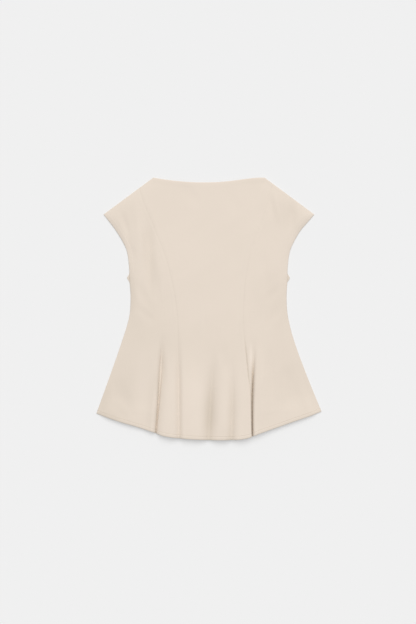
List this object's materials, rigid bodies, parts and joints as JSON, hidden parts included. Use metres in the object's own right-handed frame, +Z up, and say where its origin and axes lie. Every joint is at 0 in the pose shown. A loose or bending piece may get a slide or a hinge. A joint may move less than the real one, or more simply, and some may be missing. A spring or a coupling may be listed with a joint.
{
  "type": "peplum top laid flat",
  "caption": "Cap-sleeved knit top with a boat neck, princess seams and a flared peplum, laid flat with soft folds at the hem.",
  "frame": {"origin": "on the surface that the top lies on, under the middle of its bounding box", "axes": "+Z up out of the surface, with the front of the top facing up; +Y from the hem towards the neck; +X towards the wearer's left"},
  "size_m": [0.506, 0.59, 0.0153],
  "materials": {
    "cream_knit": "matte crepe-textured firm knit"
  },
  "bodies": {
    "root": {"centre_front": "cream_knit", "right_side_front": "cream_knit", "left_side_front": "cream_knit", "back": "cream_knit"}
  },
  "joints": []
}
